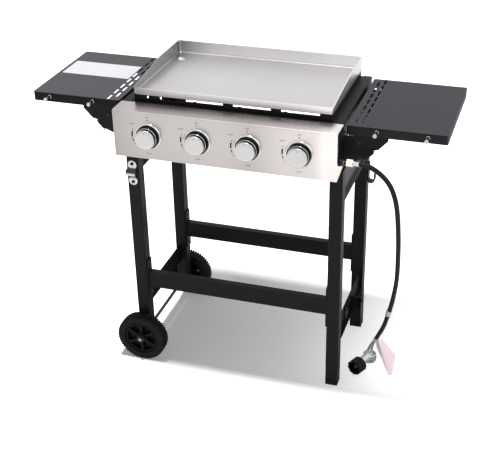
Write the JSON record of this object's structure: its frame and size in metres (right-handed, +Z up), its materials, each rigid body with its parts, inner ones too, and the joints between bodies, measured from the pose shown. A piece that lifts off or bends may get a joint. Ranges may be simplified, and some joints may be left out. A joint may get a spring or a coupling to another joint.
{
  "type": "outdoor gas griddle station",
  "caption": "Outdoor gas griddle on a wheeled steel cart, with fold-down side shelves, burner knobs, a gas hose with regulator and a lift-off plate.",
  "frame": {"origin": "centre of the footprint on the ground", "axes": "+Z up, the knobs face -Y, the gas hose is on the +X side"},
  "size_m": [1.14, 0.59, 0.88],
  "materials": {
    "black_paint": "satin",
    "grey_paint": "matte",
    "brushed": "satin",
    "griddle_steel": "satin",
    "zinc": "satin",
    "chrome": "gloss",
    "tyre": "matte",
    "black_plastic": "matte",
    "brass": "satin",
    "ceramic": "gloss",
    "hose": "matte",
    "label": "gloss",
    "tag": "matte",
    "knob": "gloss",
    "regulator": "satin"
  },
  "bodies": {
    "frame": {"leg_front_left": "black_paint", "leg_front_right": "black_paint", "leg_rear_left": "black_paint", "leg_rear_right": "black_paint", "leg_caps": "black_plastic", "front_rail": "black_paint", "rear_rail": "black_paint", "upper_side_left": "black_paint", "upper_side_right": "black_paint", "lower_side_left": "black_paint", "lower_side_right": "black_paint", "wheel_axle": "zinc", "axle_hardware": "zinc", "firebox": "black_paint", "burners": "griddle_steel", "igniters": "ceramic", "gas_manifold": "zinc", "gas_valves": "brass", "grease_chute": "black_paint", "cup_rails": "black_paint", "control_panel": "brushed", "panel_end_plates": "black_paint", "knob_bezels": "chrome", "left_brackets": "black_paint", "right_brackets": "black_paint", "left_pivots": "zinc", "right_pivots": "zinc", "bottle_opener": "chrome", "bottle_hook": "black_paint", "bottle_cradle": "black_paint", "frame_screws": "zinc", "gas_inlet": "chrome", "hose_nut": "brass", "hose_crimps": "chrome", "gas_hose": "hose", "regulator": "regulator", "hose_tag": "tag"},
    "front_wheel": {"front_wheel_hub": "black_plastic", "front_tyre": "tyre"},
    "rear_wheel": {"rear_wheel_hub": "black_plastic", "rear_tyre": "tyre"},
    "griddle": {"griddle_plate": "griddle_steel"},
    "cup": {"grease_cup": "brushed"},
    "left_shelf_body": {"left_shelf": "grey_paint", "left_shelf_arms": "black_paint", "left_tool_pegs": "chrome", "blank_plate": "label"},
    "right_shelf_body": {"right_shelf": "grey_paint", "right_shelf_arms": "black_paint", "right_tool_pegs": "chrome"},
    "coupling": {"coupling_nut": "black_plastic"},
    "valve_stem_1": {"stem_1": "zinc"},
    "knob_body_1": {"knob_1": "knob"},
    "valve_stem_2": {"stem_2": "zinc"},
    "knob_body_2": {"knob_2": "knob"},
    "valve_stem_3": {"stem_3": "zinc"},
    "knob_body_3": {"knob_3": "knob"},
    "valve_stem_4": {"stem_4": "zinc"},
    "knob_body_4": {"knob_4": "knob"}
  },
  "joints": [
    {"name": "front_wheel_spin", "type": "hinge", "parent": "frame", "child": "front_wheel", "pos_m": [-0.289, -0.2245, 0.075], "axis": [0, 1, 0], "continuous": true},
    {"name": "rear_wheel_spin", "type": "hinge", "parent": "frame", "child": "rear_wheel", "pos_m": [-0.289, 0.1655, 0.075], "axis": [0, 1, 0], "continuous": true},
    {"name": "griddle_lift_off", "type": "slide", "parent": "frame", "child": "griddle", "axis": [0, 0, 1], "range_m": [0, 0.1]},
    {"name": "grease_cup_slide", "type": "slide", "parent": "frame", "child": "cup", "axis": [0, 1, 0], "range_m": [0, 0.12]},
    {"name": "left_shelf_fold", "type": "hinge", "parent": "frame", "child": "left_shelf_body", "pos_m": [-0.348, -0.037, 0.777], "axis": [0, -1, 0], "range_deg": [0, 90]},
    {"name": "right_shelf_fold", "type": "hinge", "parent": "frame", "child": "right_shelf_body", "pos_m": [0.348, -0.037, 0.777], "axis": [0, 1, 0], "range_deg": [0, 90]},
    {"name": "coupling_nut_spin", "type": "hinge", "parent": "frame", "child": "coupling", "pos_m": [0.37, -0.075, 0.023], "axis": [-0.4274, -0.9041, 0], "continuous": true},
    {"name": "knob_1_push", "type": "slide", "parent": "frame", "child": "valve_stem_1", "axis": [0, 1, 0], "range_m": [0, 0.0035], "stiffness_N_per_m": 1500, "springref_m": -0.002},
    {"name": "knob_1_turn", "type": "hinge", "parent": "valve_stem_1", "child": "knob_body_1", "pos_m": [-0.207, -0.282, 0.755], "axis": [0, -1, 0], "range_deg": [0, 180]},
    {"name": "knob_2_push", "type": "slide", "parent": "frame", "child": "valve_stem_2", "axis": [0, 1, 0], "range_m": [0, 0.0035], "stiffness_N_per_m": 1500, "springref_m": -0.002},
    {"name": "knob_2_turn", "type": "hinge", "parent": "valve_stem_2", "child": "knob_body_2", "pos_m": [-0.069, -0.282, 0.755], "axis": [0, -1, 0], "range_deg": [0, 180]},
    {"name": "knob_3_push", "type": "slide", "parent": "frame", "child": "valve_stem_3", "axis": [0, 1, 0], "range_m": [0, 0.0035], "stiffness_N_per_m": 1500, "springref_m": -0.002},
    {"name": "knob_3_turn", "type": "hinge", "parent": "valve_stem_3", "child": "knob_body_3", "pos_m": [0.069, -0.282, 0.755], "axis": [0, -1, 0], "range_deg": [0, 180]},
    {"name": "knob_4_push", "type": "slide", "parent": "frame", "child": "valve_stem_4", "axis": [0, 1, 0], "range_m": [0, 0.0035], "stiffness_N_per_m": 1500, "springref_m": -0.002},
    {"name": "knob_4_turn", "type": "hinge", "parent": "valve_stem_4", "child": "knob_body_4", "pos_m": [0.207, -0.282, 0.755], "axis": [0, -1, 0], "range_deg": [0, 180]}
  ]
}
